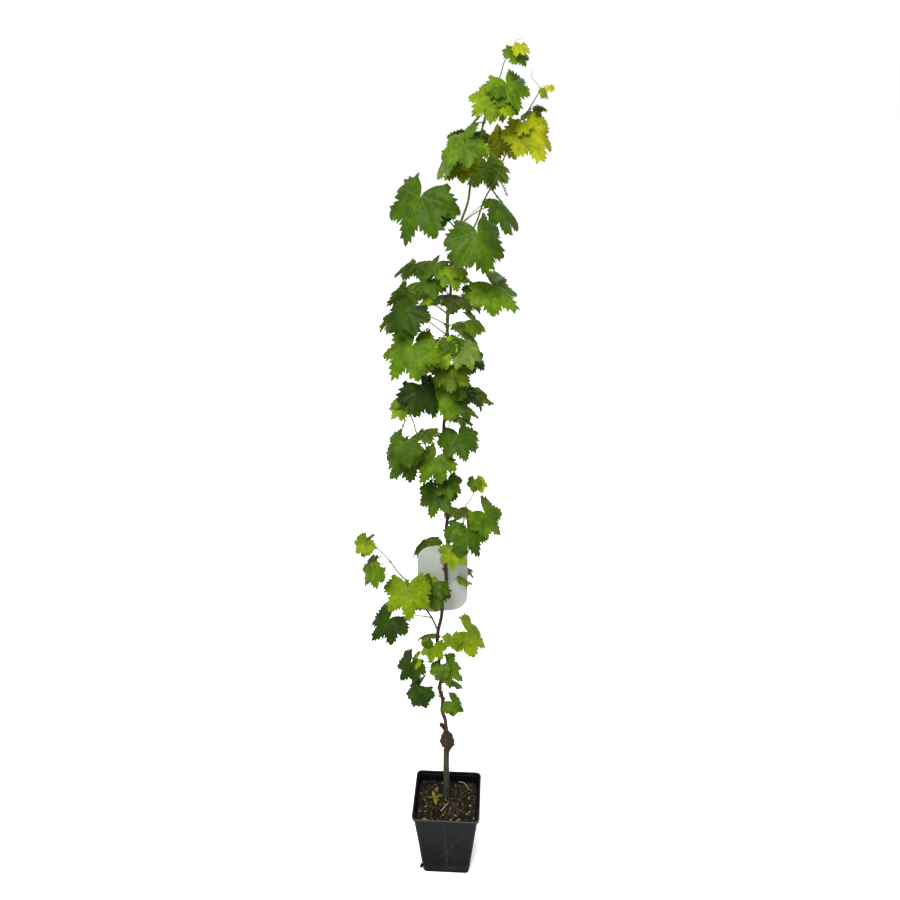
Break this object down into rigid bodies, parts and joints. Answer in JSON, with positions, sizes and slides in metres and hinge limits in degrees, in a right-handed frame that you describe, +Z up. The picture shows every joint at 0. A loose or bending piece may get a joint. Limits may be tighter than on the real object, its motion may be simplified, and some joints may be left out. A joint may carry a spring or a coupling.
{
  "type": "potted grapevine",
  "caption": "Young grafted grapevine in a square nursery pot: a slender leaning stem with lobed leaves to the tip, side shoots and a blank hanging label.",
  "frame": {"origin": "centre of the pot's flat underside", "axes": "+Z up along the plant, -Y towards the side with the label, +X to the right when the label is seen from in front"},
  "size_m": [0.3623, 0.2203, 1.7793],
  "materials": {
    "pot": "satin black moulded plastic, scuffed",
    "soil": "moist dark potting compost with bark chips",
    "stock_bark": "rough grey-green bark",
    "graft_bark": "dark knobbly callus",
    "cane_bark": "smooth dark red-brown cane, swollen at the nodes",
    "green_bark": "smooth green young stem",
    "foliage": "satin leaf, paler underneath",
    "label": "blank pale plastic sheet"
  },
  "bodies": {
    "root": {"back_crown": "foliage", "back_low": "foliage", "back_lower_middle": "foliage", "back_middle": "foliage", "back_upper": "foliage", "back_upper_middle": "foliage", "crown_back": "foliage", "crown_left": "foliage", "crown_pale": "foliage", "crown_right": "foliage", "front_a": "foliage", "front_b": "foliage", "front_c": "foliage", "front_d": "foliage", "front_dark": "foliage", "front_f": "foliage", "front_h": "foliage", "graft_union": "graft_bark", "label": "label", "leader_bud": "foliage", "leader_leaf": "foliage", "leader_low": "foliage", "left_big": "foliage", "left_dark": "foliage", "left_middle": "foliage", "left_tip": "foliage", "low_front": "foliage", "low_left": "foliage", "low_left_b": "foliage", "low_middle": "foliage", "low_right": "foliage", "low_right_b": "foliage", "lowleft_edge": "foliage", "lowleft_leaf": "foliage", "lowleft_side": "foliage", "lowleft_tip": "foliage", "midleft_leaf": "foliage", "pot": "pot", "right_dark": "foliage", "right_leaf": "foliage", "right_lower": "foliage", "right_pale": "foliage", "right_tip": "foliage", "right_upper": "foliage", "rootstock": "stock_bark", "second_leader": "green_bark", "shoot_low_left": "green_bark", "shoot_middle_left": "green_bark", "shoot_right": "green_bark", "side_left": "foliage", "side_shoot_top": "green_bark", "soil": "soil", "stem_lower": "cane_bark", "stem_middle": "cane_bark", "stem_top": "green_bark", "stem_upper": "green_bark", "tangle": "foliage", "tip_fork_left": "green_bark", "tip_fork_right": "green_bark", "tip_right": "foliage"}
  },
  "joints": []
}
